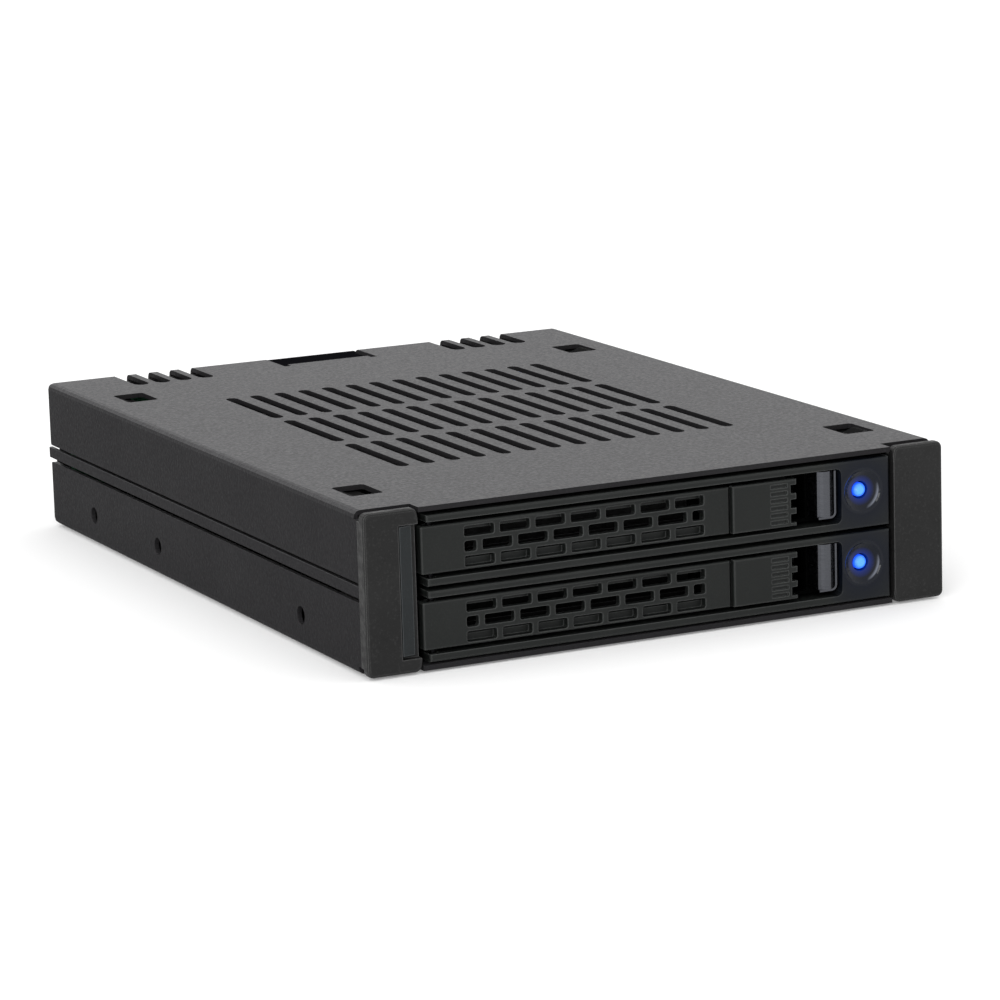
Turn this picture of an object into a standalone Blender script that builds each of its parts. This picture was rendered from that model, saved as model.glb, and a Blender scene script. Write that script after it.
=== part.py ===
"""Two-bay mobile rack for 2.5-inch drives, built to fill one 3.5-inch device bay.

A folded steel cage holds two trays, one above the other. Each tray has a front frame with an
indicator, a sled for the drive, a vented lever that swings out about its left end, and a ribbed
latch that slides on the lever.

Every length below is in millimetres. X runs to the right, Y from the front face to the rear and
Z up from the underside. `publish` turns a finished mesh into metres and moves the origin to the
middle of the footprint.
"""
import math

import bmesh
import bpy

# Whole object
HALF_WIDTH = 50.8
HEIGHT = 25.4
SHELL_LENGTH = 136.5
TOTAL_LENGTH = 143.2
SHEET = 0.8
GAP = 0.3

# Sheet-metal shells
SHELL_HALF = 50.7
SHELL_INNER = SHELL_HALF - SHEET
COVER_FRONT = 0.5
CHASSIS_FRONT = 0.3
CHASSIS_TOP = 11.3
COVER_BOTTOM = 14.35
EDGE_RADIUS = 1.1
REAR_RETURN = 45.5
REAR_LIP = 2.0
LIP_HALF = 41.4
CEILING = HEIGHT - SHEET

# Corner pieces of the bezel
EAR_INNER = 41.75
EAR_DEPTH = 2.4
EAR_FACE = 1.5
EAR_STEP = 1.3
EAR_CORNER = 1.0
SHELL_BEHIND_EAR = EAR_DEPTH + GAP
SHELL_BEHIND_STEP = 3.6
TONGUE_END = 11.9

# Guide frames
GUIDE_FACE = 41.8
GUIDE_WALL = 1.5
GUIDE_OUTER = 49.5
GUIDE_LOW = 1.1
GUIDE_HIGH = 24.3
GUIDE_FRONT = 12.2
GUIDE_REAR = 127.4
GUIDE_FLANGE = 0.8
RUNNER_FACE = 40.3
RUNNER_LOW = 4.9
RUNNER_HIGH = 6.1
DIVIDER_LOW = 12.2
RAIL_LOW = 11.95
RAIL_HIGH = 13.85

# Openings in the top cover
SLOT_COLUMNS = 14
SLOT_PITCH = 4.51
SLOT_SHIFT = -0.15
SLOT_WIDTH = 2.05
SLOT_LENGTH = 22.1
SLOT_ROWS = (41.6, 66.65, 91.7)
SNAP_HOLES = ((43.8, 17.5), (42.8, 113.1))
SNAP_HOLE_SIZE = (5.5, 7.8)
REAR_CUTS_X = 0.5
NOTCH_CENTRE = 31.1
NOTCH_PITCH = 4.1
NOTCH_WIDTH = 2.7
NOTCH_FRONT = 124.4
POCKET_HALF = 9.1
POCKET_FRONT = 128.4

# Screw pattern of a 3.5-inch bay device, M3
SIDE_HOLE_ROWS = (25.2, 85.3, 115.2)
SIDE_HOLE_Z = 5.0
BOTTOM_HOLE_ROWS = (41.3, 85.7)
BOTTOM_HOLE_X = 47.6
SCREW_HOLE_RADIUS = 1.5

# Backplane
BOARD_FRONT = 127.7
BOARD_BACK = 129.3
BOARD_HALF = 49.3
BOARD_SCREW_X = 46.2
BOARD_SCREW_Z = (5.5, 19.9)
PORT_X = 31.0
POWER_HALF = 11.8
PANEL_TOP = 24.3

# Trays, measured from the tray's own underside
TRAY_BOTTOMS = {"lower": 1.15, "upper": 12.9}
TRAY_HEIGHT = 11.05
TRAY_HALF = 41.1
FRAME_FACE = 0.4
FRAME_BACK = 11.7
RAIL_LEFT = -40.2
RAIL_THICK = 1.2
POCKET_TOP = 10.0
POCKET_BACK = 4.8
BLOCK_LEFT = 32.3
LED_X = 36.15
LED_Z = 6.0
DISH_RADIUS = 3.4
DISH_DEPTH = 1.1
SLED_HALF = 41.4
SLED_REAR = 118.2
SLED_SCREWS = (-37.0, 33.8)
SLED_SCREW_Z = 8.6
DRIVE_HALF = 35.3
DRIVE_SCREW_X = 30.86
DRIVE_SCREW_ROWS = (35.0, 111.6)
AIR_WINDOW = 14.0
AIR_WINDOW_PITCH = (17.5, 22.0)
AIR_WINDOW_START = 30.0

# Lever and latch
HINGE_X = -39.1
HINGE_Y = 2.0
PIN_RADIUS = 0.5
LEVER_LEFT = -41.05
LEVER_RIGHT = 12.15
LEVER_FACE = 0.7
LEVER_BACK = 2.9
LEVER_LOW = 1.85
LEVER_HIGH = 9.3
VENT_LEFT = -33.75
VENT_RIGHT = 7.65
VENT_WEB = 1.0
VENT_COUNT = 7
VENT_HEIGHT = 1.65
VENT_PITCH = 2.35
VENT_CENTRE = 5.45
LATCH_LEFT = 12.5
LATCH_RIGHT = 24.0
LATCH_FACE = 0.1
LATCH_LOW = 1.85
LATCH_HIGH = 9.4
STRIKE_LEFT = 28.45
STRIKE_RIGHT = 31.65

METRE = 0.001


# ---------------------------------------------------------------- materials

def material(name, colour, roughness, metallic=0.0):
    """Make a Principled material."""
    made = bpy.data.materials.new(name)
    made.use_nodes = True
    shader = made.node_tree.nodes["Principled BSDF"]
    shader.inputs["Base Color"].default_value = (*colour, 1.0)
    shader.inputs["Roughness"].default_value = roughness
    shader.inputs["Metallic"].default_value = metallic
    return made


def make_materials():
    """Return every finish by name."""
    return {
        "steel_paint": material("steel_paint", (0.115, 0.112, 0.115), 0.55),
        "ear_plastic": material("ear_plastic", (0.035, 0.035, 0.034), 0.62),
        "tray_plastic": material("tray_plastic", (0.028, 0.030, 0.029), 0.42),
        "guide_plastic": material("guide_plastic", (0.012, 0.012, 0.012), 0.6),
        "bright_metal": material("bright_metal", (0.55, 0.55, 0.57), 0.25, 1.0),
        "spring_steel": material("spring_steel", (0.5, 0.5, 0.5), 0.35, 1.0),
        "board": material("board", (0.02, 0.10, 0.05), 0.4),
        "connector": material("connector", (0.015, 0.015, 0.016), 0.45),
        "lamp": material("lamp", (0.08, 0.30, 1.0), 0.2),
        "clear": material("clear", (0.75, 0.82, 0.86), 0.08),
    }


# ---------------------------------------------------------------- shapes

def box(bm, low, high):
    """Add a block between two opposite corners and return its corner points."""
    corners = bmesh.ops.create_cube(bm, size=1.0)["verts"]
    for corner in corners:
        corner.co = [low[i] + (corner.co[i] + 0.5) * (high[i] - low[i]) for i in range(3)]
    return corners


def soften(bm, edges, radius, segments, chosen):
    """Round those edges whose middle point passes `chosen`."""
    soft = [edge for edge in edges if chosen((edge.verts[0].co + edge.verts[1].co) / 2)]
    bmesh.ops.bevel(bm, geom=soft, offset=radius, segments=segments, profile=0.5, affect="EDGES")


def soft_box(bm, low, high, radius, segments, chosen):
    """Add a block and round those of its edges whose middle point passes `chosen`."""
    corners = box(bm, low, high)
    soften(bm, {edge for corner in corners for edge in corner.link_edges}, radius, segments, chosen)


def prism(bm, outline, axis, start, end):
    """Extrude an outline along an axis. Its points hold the other two coordinates, in XYZ order."""
    def lift(point, along):
        full = list(point)
        full.insert(axis, along)
        return full

    first = [bm.verts.new(lift(point, start)) for point in outline]
    last = [bm.verts.new(lift(point, end)) for point in outline]
    bm.faces.new(first)
    bm.faces.new(reversed(last))
    count = len(outline)
    for i in range(count):
        bm.faces.new((first[i], last[i], last[(i + 1) % count], first[(i + 1) % count]))


def turned(bm, profile, centre, axis, segments=16):
    """Turn a profile of (radius, height) points about an axis through `centre`.

    The profile starts and ends on the axis, and heights are measured along the axis.
    """
    across = [i for i in range(3) if i != axis]

    def point(radius, height, angle):
        place = [0.0, 0.0, 0.0]
        place[axis] = height
        place[across[0]] = centre[0] + radius * math.cos(angle)
        place[across[1]] = centre[1] + radius * math.sin(angle)
        return bm.verts.new(place)

    rings = []
    for radius, height in profile:
        if radius == 0:
            rings.append([point(0, height, 0)])
        else:
            rings.append([point(radius, height, 2 * math.pi * k / segments) for k in range(segments)])
    for ring, following in zip(rings, rings[1:]):
        for k in range(segments):
            corners = [ring[k % len(ring)], ring[(k + 1) % len(ring)],
                       following[(k + 1) % len(following)], following[k % len(following)]]
            bm.faces.new(list(dict.fromkeys(corners)))


def rod(bm, centre, radius, axis, start, end, segments=16):
    """Add a plain round bar."""
    turned(bm, [(0, start), (radius, start), (radius, end), (0, end)], centre, axis, segments)


def arc(centre, radius, start, end, steps):
    """Points on a circle from one angle to another, in degrees."""
    points = []
    for k in range(steps + 1):
        angle = math.radians(start + (end - start) * k / steps)
        points.append((centre[0] + radius * math.cos(angle), centre[1] + radius * math.sin(angle)))
    return points


def capsule(x, low, high, width, steps=4):
    """Outline of a slot with round ends that runs along the second coordinate."""
    radius = width / 2
    return arc((x, high - radius), radius, 0, 180, steps) + arc((x, low + radius), radius, 180, 360, steps)


def soft_rectangle(low, high, radius, steps=1):
    """Outline of a rectangle with rounded corners."""
    points = arc((high[0] - radius, high[1] - radius), radius, 0, 90, steps)
    points += arc((low[0] + radius, high[1] - radius), radius, 90, 180, steps)
    points += arc((low[0] + radius, low[1] + radius), radius, 180, 270, steps)
    points += arc((high[0] - radius, low[1] + radius), radius, 270, 360, steps)
    return points


def rounding(corner, side, radius, margin=1.0, steps=4):
    """Outline of what a rounded corner takes away. `side` points out of the body, as (+-1, +-1)."""
    points = [(corner[0] + side[0] * margin, corner[1] - side[1] * radius)]
    for k in range(steps + 1):
        angle = math.pi / 2 * k / steps
        points.append((corner[0] - side[0] * radius * (1 - math.cos(angle)),
                       corner[1] - side[1] * radius * (1 - math.sin(angle))))
    points.append((corner[0] - side[0] * radius, corner[1] + side[1] * margin))
    points.append((corner[0] + side[0] * margin, corner[1] + side[1] * margin))
    return points


def mirrored(outline):
    """Mirror an outline in the YZ plane; its first coordinate is X."""
    return [(-x, other) for x, other in reversed(outline)]


# ---------------------------------------------------------------- objects

def publish(name, build, finish, parent=None, lift=0.0, round_piece=False):
    """Run `build` on an empty mesh and make the result an object in metres."""
    bm = bmesh.new()
    build(bm)
    bmesh.ops.recalc_face_normals(bm, faces=bm.faces)
    anchor = parent.location if parent else (0.0, 0.0, 0.0)
    for vert in bm.verts:
        x, y, z = vert.co
        vert.co = (x * METRE - anchor[0],
                   (y - TOTAL_LENGTH / 2) * METRE - anchor[1],
                   (z + lift) * METRE - anchor[2])
    mesh = bpy.data.meshes.new(name)
    bm.to_mesh(mesh)
    bm.free()
    if round_piece:
        mesh.shade_smooth()
        mesh.set_sharp_from_angle(angle=math.radians(35))
    obj = bpy.data.objects.new(name, mesh)
    obj.parent = parent
    bpy.context.collection.objects.link(obj)
    if finish:
        mesh.materials.append(finish)
    return obj


def combine(obj, operation, build, label):
    """Cut `obj` with the shape that `build` makes, or add that shape to it."""
    parent = obj.parent
    lift = obj.get("lift", 0.0)
    helper = publish(f"{obj.name}_{label}", build, None, parent, lift)
    helper.hide_render = True
    helper.display_type = "WIRE"
    step = obj.modifiers.new(label, "BOOLEAN")
    step.operation = operation
    step.solver = "EXACT"
    step.object = helper


def cut(obj, build, label="cut"):
    combine(obj, "DIFFERENCE", build, label)


def add(obj, build, label="add"):
    combine(obj, "UNION", build, label)


def pivot(name, x, y, z):
    """Empty that stands on a joint's axis."""
    empty = bpy.data.objects.new(name, None)
    empty.location = (x * METRE, (y - TOTAL_LENGTH / 2) * METRE, z * METRE)
    bpy.context.collection.objects.link(empty)
    bpy.context.view_layer.update()
    return empty


# ---------------------------------------------------------------- cage

def shell_block(bm, front, low, high):
    """Solid outer form of one shell, with its long edges and its rear edges rounded."""
    outside = HEIGHT if high == HEIGHT else 0.0

    def chosen(middle):
        at_side = abs(middle.x) > LIP_HALF
        at_rear = abs(middle.y - SHELL_LENGTH) < 0.01
        at_outside = abs(middle.z - outside) < 0.01
        return at_side + at_rear + at_outside == 2

    soft_box(bm, (-SHELL_HALF, front, low), (SHELL_HALF, SHELL_LENGTH, high), EDGE_RADIUS, 3, chosen)


def rear_opening(bm, low, high):
    """What is open between the rear returns and the lips, with room for the power port."""
    port = POWER_HALF + GAP
    outline = [(-REAR_RETURN, low), (REAR_RETURN, low), (REAR_RETURN, high)]
    if high < CEILING:
        outline += [(REAR_CUTS_X + port, high), (REAR_CUTS_X + port, CEILING),
                    (REAR_CUTS_X - port, CEILING), (REAR_CUTS_X - port, high)]
    outline.append((-REAR_RETURN, high))
    prism(bm, outline, 1, SHELL_LENGTH - SHEET - 0.5, SHELL_LENGTH + 1)


def ear_corners(bm, low, step, outside):
    """Space for the two bezel ears at the front corners of a shell, deeper past the step."""
    outline = [(-1, low), (SHELL_BEHIND_EAR, low), (SHELL_BEHIND_EAR, step),
               (SHELL_BEHIND_STEP, step), (SHELL_BEHIND_STEP, outside), (-1, outside)]
    for side in (-1, 1):
        inner, outer = sorted((side * LIP_HALF, side * (HALF_WIDTH + 1)))
        prism(bm, outline, 0, inner, outer)


def flange_rounding(bm, corner_z, direction, radius):
    """Rounded rear corner of a shell's side flange."""
    outline = rounding((SHELL_LENGTH, corner_z), (1, direction), radius)
    for side in (-1, 1):
        inner, outer = sorted((side * (SHELL_INNER - 0.5), side * (HALF_WIDTH + 1)))
        prism(bm, outline, 0, inner, outer)


def cover_openings(bm):
    """Every opening in the top plate."""
    plate = (2, CEILING - 0.4, HEIGHT + 1)
    plate_and_lip = (2, HEIGHT - REAR_LIP - 0.5, HEIGHT + 1)
    half = SLOT_LENGTH / 2
    for row in SLOT_ROWS:
        for column in range(SLOT_COLUMNS):
            x = SLOT_SHIFT + (column - (SLOT_COLUMNS - 1) / 2) * SLOT_PITCH
            prism(bm, capsule(x, row - half, row + half, SLOT_WIDTH), *plate)
    width, length = SNAP_HOLE_SIZE
    for side in (-1, 1):
        for x, row in SNAP_HOLES:
            low = (side * x - width / 2, row - length / 2)
            high = (side * x + width / 2, row + length / 2)
            prism(bm, soft_rectangle(low, high, 0.4), *plate)
        for k in range(4):
            notch = REAR_CUTS_X + side * NOTCH_CENTRE + (k - 1.5) * NOTCH_PITCH
            prism(bm, capsule(notch, NOTCH_FRONT, SHELL_LENGTH + 3, NOTCH_WIDTH), *plate_and_lip)
    relief = 1.2
    half_pocket = [(POCKET_HALF, SHELL_LENGTH + 2), (POCKET_HALF, POCKET_FRONT - 1.6),
                   (POCKET_HALF - relief, POCKET_FRONT - 1.6), (POCKET_HALF - relief, POCKET_FRONT)]
    pocket = half_pocket + mirrored(half_pocket)
    prism(bm, [(REAR_CUTS_X + x, y) for x, y in pocket], *plate_and_lip)


def make_cover(finish):
    cover = publish("top_cover", lambda bm: shell_block(bm, COVER_FRONT, COVER_BOTTOM, HEIGHT), finish)
    back = SHELL_LENGTH - SHEET
    cut(cover, lambda bm: box(bm, (-SHELL_INNER, -1, 0), (SHELL_INNER, back, CEILING)), "void")
    cut(cover, lambda bm: rear_opening(bm, 0, HEIGHT - REAR_LIP), "rear")

    def openings(bm):
        cover_openings(bm)
        ear_corners(bm, COVER_BOTTOM - 1, HEIGHT - EAR_STEP, HEIGHT + 1)
        flange_rounding(bm, COVER_BOTTOM, -1, 1.5)

    cut(cover, openings, "openings")


def make_chassis(finish):
    chassis = publish("bottom_chassis", lambda bm: shell_block(bm, CHASSIS_FRONT, 0.0, CHASSIS_TOP), finish)
    back = SHELL_LENGTH - SHEET
    cut(chassis, lambda bm: box(bm, (-SHELL_INNER, -1, SHEET), (SHELL_INNER, back, HEIGHT)), "void")
    cut(chassis, lambda bm: rear_opening(bm, REAR_LIP, HEIGHT), "rear")

    def openings(bm):
        ear_corners(bm, CHASSIS_TOP + 1, EAR_STEP, -1)
        flange_rounding(bm, CHASSIS_TOP, 1, 1.5)
        flange_rounding(bm, 0.0, -1, 2.2)
        for side in (-1, 1):
            low, high = sorted((side * (SHELL_INNER - 1), side * (SHELL_HALF + 1)))
            for row in SIDE_HOLE_ROWS:
                rod(bm, (row, SIDE_HOLE_Z), SCREW_HOLE_RADIUS, 0, low, high, 12)
            for row in BOTTOM_HOLE_ROWS:
                rod(bm, (side * BOTTOM_HOLE_X, row), SCREW_HOLE_RADIUS, 2, -1, SHEET + 1, 12)

    cut(chassis, openings, "openings")


def make_side_rail(name, side, finish):
    """Narrow strip between the shells, with a stem that reaches the guide."""
    def strip(bm):
        low, high = sorted((side * (SHELL_HALF - 0.7), side * SHELL_HALF))
        box(bm, (low, SHELL_BEHIND_EAR, RAIL_LOW), (high, SHELL_LENGTH, RAIL_HIGH))

    def stem(bm):
        low, high = sorted((side * (GUIDE_FACE + GUIDE_WALL + GAP), side * (SHELL_HALF - 0.4)))
        box(bm, (low, GUIDE_FRONT, RAIL_LOW + 0.45), (high, GUIDE_REAR, RAIL_HIGH - 0.45))

    add(publish(name, strip, finish), stem, "stem")


def guide_section():
    """Section of the right guide: a channel open to the outside, with two runners on its face."""
    wall = GUIDE_FACE + GUIDE_WALL
    face = [(GUIDE_FACE, GUIDE_LOW)]
    for bottom in TRAY_BOTTOMS.values():
        face += [(GUIDE_FACE, bottom + RUNNER_LOW), (RUNNER_FACE, bottom + RUNNER_LOW),
                 (RUNNER_FACE, bottom + RUNNER_HIGH), (GUIDE_FACE, bottom + RUNNER_HIGH)]
    face.append((GUIDE_FACE, GUIDE_HIGH))
    channel = [(GUIDE_OUTER, GUIDE_HIGH), (GUIDE_OUTER, GUIDE_HIGH - GUIDE_FLANGE),
               (wall, GUIDE_HIGH - GUIDE_FLANGE), (wall, GUIDE_LOW + GUIDE_FLANGE),
               (GUIDE_OUTER, GUIDE_LOW + GUIDE_FLANGE), (GUIDE_OUTER, GUIDE_LOW)]
    return face + channel


def make_guide(name, side, finish):
    section = guide_section() if side > 0 else mirrored(guide_section())
    guide = publish(name, lambda bm: prism(bm, section, 1, GUIDE_FRONT, GUIDE_REAR), finish)

    def bosses_and_hooks(bm):
        low, high = sorted((side * (GUIDE_FACE + 0.7), side * (GUIDE_OUTER - 0.2)))
        for z in BOARD_SCREW_Z:
            box(bm, (low, GUIDE_REAR - 9.5, z - 2.5), (high, GUIDE_REAR - 0.1, z + 2.5))
        for x, row in SNAP_HOLES:
            outer = x + SNAP_HOLE_SIZE[0] / 2 - GAP
            hook = [(outer, GUIDE_HIGH - 0.4), (outer, HEIGHT - 0.25), (outer - 0.5, HEIGHT - 0.25),
                    (outer - 2.3, GUIDE_HIGH + 0.1), (outer - 2.3, GUIDE_HIGH - 0.4)]
            prism(bm, hook if side > 0 else mirrored(hook), 1, row - 2.0, row + 2.0)

    def holes(bm):
        for z in BOARD_SCREW_Z:
            rod(bm, (side * BOARD_SCREW_X, z), 1.3, 1, GUIDE_REAR - 8.5, GUIDE_REAR + 1, 12)
        for row in BOTTOM_HOLE_ROWS:
            rod(bm, (side * BOTTOM_HOLE_X, row), SCREW_HOLE_RADIUS + GAP, 2, 0.5, 2.5, 12)
        low, high = sorted((side * (GUIDE_FACE - 0.6), side * (GUIDE_FACE + 0.8)))
        box(bm, (low, GUIDE_FRONT - 1, DIVIDER_LOW - GAP), (high, GUIDE_REAR + 1, DIVIDER_LOW + SHEET + GAP))

    add(guide, bosses_and_hooks, "bosses")
    cut(guide, holes, "holes")


def make_ear(name, side, finish):
    """Corner piece of the bezel, with a tongue that reaches back inside the shells."""
    def plate(bm):
        outline = soft_rectangle((EAR_INNER, 0.0), (HALF_WIDTH, HEIGHT), EAR_CORNER, 4)
        prism(bm, outline if side > 0 else mirrored(outline), 1, 0.0, EAR_DEPTH)
        soften(bm, bm.edges, 0.4, 2, lambda middle: middle.y < 0.01 and abs(middle.x) > EAR_INNER + 0.01)

    def tongue(bm):
        low, high = sorted((side * (EAR_INNER + 1.6), side * GUIDE_OUTER))
        box(bm, (low, EAR_DEPTH - 0.5, GUIDE_LOW), (high, TONGUE_END, GUIDE_HIGH))

    def hollow(bm):
        low, high = sorted((side * (EAR_INNER + 2.8), side * (GUIDE_OUTER - 1.2)))
        box(bm, (low, EAR_DEPTH + 1.0, GUIDE_LOW + 1.2), (high, TONGUE_END + 1, GUIDE_HIGH - 1.2))
        low, high = sorted((side * (EAR_INNER - 1), side * (HALF_WIDTH + 1)))
        for bottom, top in ((-1.0, EAR_STEP), (HEIGHT - EAR_STEP, HEIGHT + 1)):
            box(bm, (low, EAR_FACE, bottom), (high, EAR_DEPTH + 1, top))

    ear = publish(name, plate, finish)
    add(ear, tongue, "tongue")
    cut(ear, hollow, "hollow")
    return ear


def make_insert(ear, finish):
    """Sloped panel beside the levers' hinge ends, and its seat in the left ear."""
    left, low, high = -45.0, 2.2, 22.95
    cut(ear, lambda bm: box(bm, (left, -1, low), (-EAR_INNER + 1, 1.3, high)), "seat")
    right = -EAR_INNER - 0.9
    outline = [(left + 0.2, 1.0), (left + 0.2, 0.12), (right, 0.6), (right, 1.0)]
    publish("ear_insert", lambda bm: prism(bm, outline, 2, low + 0.5, high - 0.2), finish)


def air_windows(bm, low, high):
    """Grid of square windows that the divider and both sleds share."""
    for row in range(4):
        y = AIR_WINDOW_START + row * AIR_WINDOW_PITCH[1]
        for column in (-1, 0, 1):
            x = column * AIR_WINDOW_PITCH[0]
            box(bm, (x - AIR_WINDOW / 2, y, low), (x + AIR_WINDOW / 2, y + AIR_WINDOW, high))


def make_divider(finish):
    half = GUIDE_FACE + 0.5
    low = (-half, 14.0, DIVIDER_LOW)
    high = (half, 124.0, DIVIDER_LOW + SHEET)
    divider = publish("bay_divider", lambda bm: box(bm, low, high), finish)
    cut(divider, lambda bm: air_windows(bm, DIVIDER_LOW - 1, DIVIDER_LOW + 2), "windows")


# ---------------------------------------------------------------- backplane and rear

def screw(name, x, z, seat, length, radius, finish, parent=None, lift=0.0):
    """Pan-head screw that points to the front, with its head behind `seat`."""
    head = radius * 1.9
    profile = [(0, seat - length), (radius, seat - length + radius * 0.6), (radius, seat), (head, seat),
               (head, seat + 0.7), (head * 0.7, seat + 1.2), (0, seat + 1.2)]
    obj = publish(name, lambda bm: turned(bm, profile, (x, z), 1, 12), finish, parent, lift, True)
    obj["lift"] = lift
    return obj


def make_board(finish, metal, lamp):
    def plate(bm):
        box(bm, (-BOARD_HALF, BOARD_FRONT, GUIDE_LOW), (BOARD_HALF, BOARD_BACK, GUIDE_HIGH))

    def openings(bm):
        for low, high, bottom, top in ((-38, -24, 3.2, 12.5), (29, 35, 3.2, 12.5), (-14, 24, 10.2, 13.6)):
            box(bm, (low, BOARD_FRONT - 1, bottom), (high, BOARD_BACK + 1, top))
        for side in (-1, 1):
            for z in BOARD_SCREW_Z:
                rod(bm, (side * BOARD_SCREW_X, z), 1.3, 1, BOARD_FRONT - 1, BOARD_BACK + 1, 12)

    cut(publish("backplane_board", plate, finish), openings, "openings")
    places = [(side, z) for side in (-1, 1) for z in BOARD_SCREW_Z]
    for number, (side, z) in enumerate(places, 1):
        screw(f"board_screw_{number}", side * BOARD_SCREW_X, z, BOARD_BACK + GAP, 8.0, 1.0, metal)
    for level, bottom in TRAY_BOTTOMS.items():
        low, high = bottom + LED_Z - 0.8, bottom + LED_Z + 0.8
        publish(f"status_led_{level}",
                lambda bm: box(bm, (36.9, BOARD_FRONT - 1.3, low), (38.5, BOARD_FRONT - GAP, high)), lamp)


def make_drive_connector(level, bottom, finish):
    """Receptacle for the drive's data and power edge connectors."""
    left, right, front = -16.2, 25.8, 118.4

    def body(bm):
        box(bm, (left, front, bottom + 2.1), (right, BOARD_FRONT - GAP, bottom + 7.7))

    def cavities(bm):
        for low, high in ((left + 3.2, left + 24.8), (left + 27.2, left + 38.8)):
            box(bm, (low, front - 1, bottom + 3.7), (high, front + 6, bottom + 5.6))
        for low, high in ((left - 1, left + 1.4), (right - 1.4, right + 1)):
            box(bm, (low, front - 1, bottom + 1), (high, front + 4.5, bottom + 9))

    cut(publish(f"drive_connector_{level}", body, finish), cavities, "cavities")


def make_port(name, x, half, low, high, rear, blade, finish):
    """Shrouded port on the back of the board, with the contact blade in its cavity."""
    front = BOARD_BACK + GAP
    middle = (low + high) / 2

    def body(bm):
        box(bm, (x - half, front, low), (x + half, rear, high))

    def cavity(bm):
        box(bm, (x - half + 1.1, front + 3, low + 1.2), (x + half - 1.1, rear + 1, high - 1.2))

    def tongue(bm):
        outline = [(x - blade, middle - 0.6), (x + blade, middle - 0.6), (x + blade, middle + 0.6),
                   (x - blade + 1.2, middle + 0.6), (x - blade + 1.2, middle + 1.5), (x - blade, middle + 1.5)]
        prism(bm, outline, 1, front + 2, rear - 0.8)

    port = publish(name, body, finish)
    cut(port, cavity, "cavity")
    add(port, tongue, "blade")
    return port


def make_rear(finish, connector):
    middle = REAR_CUTS_X
    for word, x in (("left", middle - PORT_X), ("right", middle + PORT_X)):
        make_port(f"data_port_{word}", x, 8.4, 14.6, 21.4, 140.6, 5.2, connector)
    make_port("power_port", middle, POWER_HALF, 15.6, 23.9, TOTAL_LENGTH, 9.0, connector)

    front, back, foot = 134.4, 135.2, 131.2
    section = [(foot, GUIDE_LOW), (back, GUIDE_LOW), (back, PANEL_TOP), (front, PANEL_TOP),
               (front, GUIDE_LOW + SHEET), (foot, GUIDE_LOW + SHEET)]
    panel = publish("rear_panel", lambda bm: prism(bm, section, 0, -BOARD_HALF, BOARD_HALF), finish)

    def openings(bm):
        for x, half, low, high in ((middle - PORT_X, 8.8, 14.2, 21.8), (middle, POWER_HALF + 0.4, 15.2, HEIGHT),
                                   (middle + PORT_X, 8.8, 14.2, 21.8)):
            box(bm, (x - half, front - 1, low), (x + half, back + 1, high))
        for k in range(12):
            prism(bm, capsule((k - 5.5) * 7.0, 3.6, 11.6, 2.6), 1, front - 0.5, back + 1)

    cut(panel, openings, "openings")


# ---------------------------------------------------------------- trays

def make_tray_front(level, bottom, parent, finish):
    """Front frame of a tray: two rails, the block with the indicator, and the wall behind the lever."""
    def block(bm):
        def chosen(middle):
            return middle.y < FRAME_FACE + 0.01

        soft_box(bm, (RAIL_LEFT, FRAME_FACE, 0.0), (TRAY_HALF, FRAME_BACK, TRAY_HEIGHT), 0.3, 2, chosen)

    def pockets(bm):
        radius = 0.9
        outline = [(RAIL_LEFT - 1, RAIL_THICK)]
        outline += arc((BLOCK_LEFT - radius, RAIL_THICK + radius), radius, 270, 360, 4)
        outline += arc((BLOCK_LEFT - radius, POCKET_TOP - radius), radius, 0, 90, 4)
        outline.append((RAIL_LEFT - 1, POCKET_TOP))
        prism(bm, outline, 1, FRAME_FACE - 1, POCKET_BACK)
        box(bm, (-34, POCKET_BACK + 1.5, RAIL_THICK), (30, FRAME_BACK + 1, POCKET_TOP))
        for x in SLED_SCREWS:
            rod(bm, (x, SLED_SCREW_Z), 1.1, 1, POCKET_BACK + 1.2, FRAME_BACK + 1, 12)
        box(bm, (34.6, 7.0, LED_Z - 1.2), (39.2, FRAME_BACK + 1, LED_Z + 1.2))

    def openings(bm):
        box(bm, (24.7, POCKET_BACK - 0.5, 1.7), (STRIKE_LEFT - GAP, POCKET_BACK + 2, 9.5))
        box(bm, (VENT_LEFT, POCKET_BACK - 0.5, 2.6), (VENT_RIGHT, POCKET_BACK + 2, 8.6))
        rod(bm, (HINGE_X, HINGE_Y), PIN_RADIUS + GAP, 2, 0.4, TRAY_HEIGHT - 0.4)
        rod(bm, (LED_X, LED_Z), 1.45, 1, FRAME_FACE + 0.5, 7.5)

    def dish(bm):
        ball = (DISH_RADIUS ** 2 + DISH_DEPTH ** 2) / (2 * DISH_DEPTH)
        centre = FRAME_FACE + DISH_DEPTH - ball
        profile = [(0, centre + ball)]
        for k in range(1, 6):
            angle = math.asin(DISH_RADIUS / ball) * 1.15 * k / 5
            profile.append((ball * math.sin(angle), centre + ball * math.cos(angle)))
        profile += [(profile[-1][0], FRAME_FACE - 1), (0, FRAME_FACE - 1)]
        turned(bm, profile, (LED_X, LED_Z), 1, 28)

    frame = publish(f"tray_front_{level}", block, finish, parent, bottom, True)
    frame["lift"] = bottom
    cut(frame, pockets, "pockets")
    cut(frame, openings, "openings")
    cut(frame, dish, "dish")


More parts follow.
